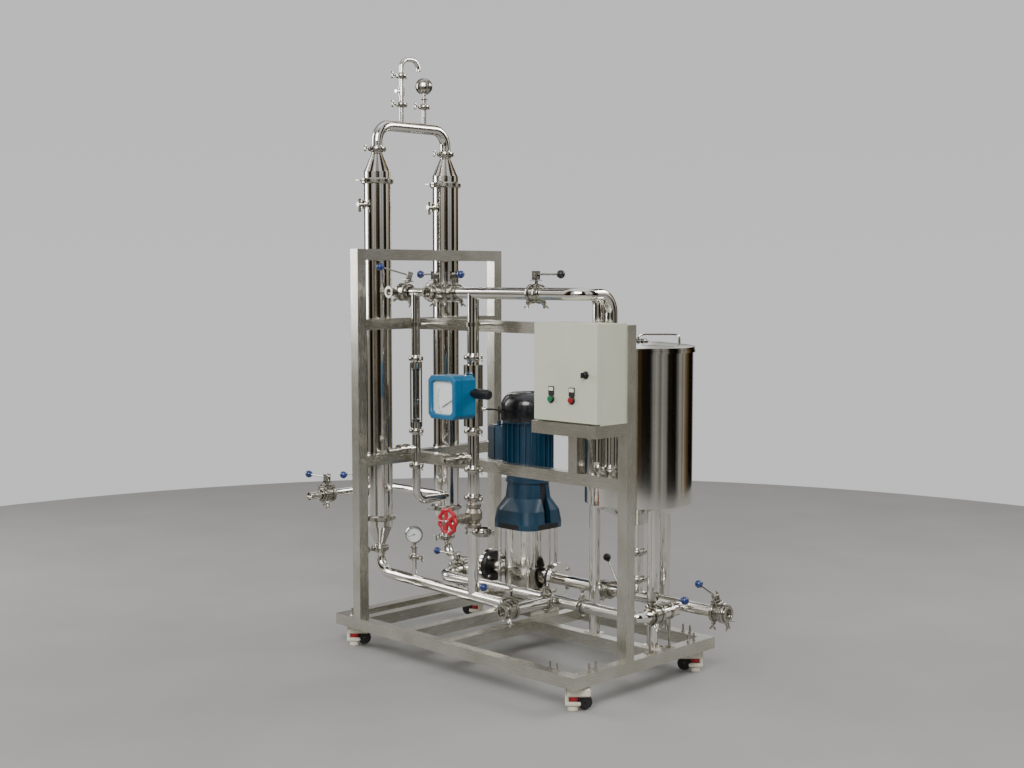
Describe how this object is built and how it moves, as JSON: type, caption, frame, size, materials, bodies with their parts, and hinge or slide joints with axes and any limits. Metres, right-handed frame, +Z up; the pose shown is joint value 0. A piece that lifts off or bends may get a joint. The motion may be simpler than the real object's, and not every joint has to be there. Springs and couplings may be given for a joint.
{
  "type": "membrane filtration unit",
  "caption": "Membrane filtration unit on a castored steel skid: upright housings, pump, conical tank, valved pipework, flow meters and a control cabinet",
  "frame": {"origin": "centre of the part's outline on the floor", "axes": "+X along the long side of the base towards the tank, +Y from the front to the back, +Z up"},
  "size_m": [2.022, 0.966, 2.7276],
  "materials": {
    "satin_steel": "satin brushed stainless tube",
    "polished_steel": "polished stainless steel",
    "cast_steel": "cast stainless clamp, dull polish",
    "cabinet_paint": "light grey powder coat",
    "switch_plastic": "black switch plastic",
    "gauge_glass": "clear glass tube",
    "meter_paint": "bright blue enamel",
    "grey_iron": "grey painted casting",
    "dark_iron": "black cast iron",
    "pump_paint": "dark blue enamel",
    "black_plastic": "black moulded cowl",
    "red_plastic": "red moulded plastic",
    "cable_rubber": "black cable sheath",
    "castor_nylon": "cream moulded nylon",
    "tread_rubber": "black rubber wheel",
    "lever_steel": "bright steel lever"
  },
  "bodies": {
    "skid": {"back_run_pipes": "polished_steel", "base_cross_beams": "satin_steel", "base_long_beams": "satin_steel", "control_cabinet": "cabinet_paint", "control_valve": "grey_iron", "cross_rails": "satin_steel", "crossover_pipe": "polished_steel", "discharge_pipes": "polished_steel", "fan_cowl": "black_plastic", "feed_pipes": "polished_steel", "flow_meter": "meter_paint", "header_pipes": "polished_steel", "housing_clamps": "cast_steel", "line_a_pipes": "polished_steel", "line_b_pipes": "polished_steel", "membrane_housings": "polished_steel", "meter_cable": "cable_rubber", "motor_body": "pump_paint", "pipe_clamps": "cast_steel", "pipe_elbows": "polished_steel", "pipe_supports": "cast_steel", "port_collars": "dark_iron", "pressure_gauges": "cast_steel", "pump_base": "polished_steel", "pump_lantern": "pump_paint", "pump_sleeve": "polished_steel", "rotameter_glass": "gauge_glass", "sample_valves": "polished_steel", "side_branch_pipes": "polished_steel", "side_rails": "satin_steel", "suction_pipes": "polished_steel", "tank_cone": "polished_steel", "tank_legs": "polished_steel", "tank_lid": "polished_steel", "tank_shell": "polished_steel", "upright_posts": "satin_steel", "valve_bodies": "polished_steel"},
    "cabinet_door": {"cabinet_door": "cabinet_paint", "door_controls": "switch_plastic"},
    "handwheel": {"handwheel": "red_plastic"},
    "lever_header_left": {"lever_header_left": "lever_steel"},
    "lever_header_front": {"lever_header_front": "lever_steel"},
    "lever_header_middle": {"lever_header_middle": "lever_steel"},
    "lever_header_right": {"lever_header_right": "lever_steel"},
    "lever_branch_outer": {"lever_branch_outer": "lever_steel"},
    "lever_branch_inner": {"lever_branch_inner": "lever_steel"},
    "lever_outlet": {"lever_outlet": "lever_steel"},
    "lever_drain": {"lever_drain": "lever_steel"},
    "lever_far_end": {"lever_far_end": "lever_steel"},
    "lever_back_run_end": {"lever_back_run_end": "lever_steel"},
    "lever_pump_suction": {"lever_pump_suction": "lever_steel"},
    "castor_front_left": {"castor_front_left": "castor_nylon"},
    "wheel_front_left": {"castor_wheel_front_left": "tread_rubber"},
    "castor_front_right": {"castor_front_right": "castor_nylon"},
    "wheel_front_right": {"castor_wheel_front_right": "tread_rubber"},
    "castor_back_left": {"castor_back_left": "castor_nylon"},
    "wheel_back_left": {"castor_wheel_back_left": "tread_rubber"},
    "castor_back_right": {"castor_back_right": "castor_nylon"},
    "wheel_back_right": {"castor_wheel_back_right": "tread_rubber"}
  },
  "joints": [
    {"name": "cabinet_door", "type": "hinge", "parent": "skid", "child": "cabinet_door", "pos_m": [0.429, -0.297, 1.325], "axis": [0, 0, -1], "range_deg": [0, 110]},
    {"name": "handwheel", "type": "hinge", "parent": "skid", "child": "handwheel", "pos_m": [-0.021, -0.371, 0.66], "axis": [0, -1, 0], "range_deg": [0, 720]},
    {"name": "lever_header_left", "type": "hinge", "parent": "skid", "child": "lever_header_left", "pos_m": [-0.47, -0.19164, 1.71118], "axis": [0, 0.342, 0.9397], "range_deg": [0, 90]},
    {"name": "lever_header_front", "type": "hinge", "parent": "skid", "child": "lever_header_front", "pos_m": [-0.207, -0.274, 1.716], "axis": [0, 0, 1], "range_deg": [0, 90]},
    {"name": "lever_header_middle", "type": "hinge", "parent": "skid", "child": "lever_header_middle", "pos_m": [-0.145, -0.219, 1.716], "axis": [0, 0, 1], "range_deg": [0, 90]},
    {"name": "lever_header_right", "type": "hinge", "parent": "skid", "child": "lever_header_right", "pos_m": [0.357, -0.219, 1.716], "axis": [0, 0, 1], "range_deg": [0, 90]},
    {"name": "lever_branch_outer", "type": "hinge", "parent": "skid", "child": "lever_branch_outer", "pos_m": [-0.854, -0.38, 0.767], "axis": [0, 0, 1], "range_deg": [0, 90]},
    {"name": "lever_branch_inner", "type": "hinge", "parent": "skid", "child": "lever_branch_inner", "pos_m": [-0.854, -0.142, 0.767], "axis": [0, 0, -1], "range_deg": [0, 90]},
    {"name": "lever_outlet", "type": "hinge", "parent": "skid", "child": "lever_outlet", "pos_m": [-0.477, 0.1, 0.383], "axis": [0, 0, 1], "range_deg": [0, 90]},
    {"name": "lever_drain", "type": "hinge", "parent": "skid", "child": "lever_drain", "pos_m": [0.255, -0.274, 0.383], "axis": [0, 0, 1], "range_deg": [0, 90]},
    {"name": "lever_far_end", "type": "hinge", "parent": "skid", "child": "lever_far_end", "pos_m": [0.962, 0.21564, 0.40218], "axis": [0, 0.342, -0.9397], "range_deg": [0, 90]},
    {"name": "lever_back_run_end", "type": "hinge", "parent": "skid", "child": "lever_back_run_end", "pos_m": [0.739, 0.099, 0.383], "axis": [0, 0, -1], "range_deg": [0, 90]},
    {"name": "lever_pump_suction", "type": "hinge", "parent": "skid", "child": "lever_pump_suction", "pos_m": [0.348, 0.323, 0.327], "axis": [0, 1, 0], "range_deg": [0, 90]},
    {"name": "castor_front_left", "type": "hinge", "parent": "skid", "child": "castor_front_left", "pos_m": [-0.667, -0.372, 0.08], "axis": [0, 0, 1], "continuous": true},
    {"name": "wheel_front_left", "type": "hinge", "parent": "castor_front_left", "child": "wheel_front_left", "pos_m": [-0.63447, -0.33947, 0.034], "axis": [-0.7071, 0.7071, 0], "continuous": true},
    {"name": "castor_front_right", "type": "hinge", "parent": "skid", "child": "castor_front_right", "pos_m": [0.713, -0.372, 0.08], "axis": [0, 0, 1], "continuous": true},
    {"name": "wheel_front_right", "type": "hinge", "parent": "castor_front_right", "child": "wheel_front_right", "pos_m": [0.74553, -0.33947, 0.034], "axis": [-0.7071, 0.7071, 0], "continuous": true},
    {"name": "castor_back_left", "type": "hinge", "parent": "skid", "child": "castor_back_left", "pos_m": [-0.667, 0.408, 0.08], "axis": [0, 0, 1], "continuous": true},
    {"name": "wheel_back_left", "type": "hinge", "parent": "castor_back_left", "child": "wheel_back_left", "pos_m": [-0.71023, 0.39227, 0.034], "axis": [0.342, -0.9397, 0], "continuous": true},
    {"name": "castor_back_right", "type": "hinge", "parent": "skid", "child": "castor_back_right", "pos_m": [0.713, 0.408, 0.08], "axis": [0, 0, 1], "continuous": true},
    {"name": "wheel_back_right", "type": "hinge", "parent": "castor_back_right", "child": "wheel_back_right", "pos_m": [0.68047, 0.37547, 0.034], "axis": [0.7071, -0.7071, 0], "continuous": true}
  ]
}
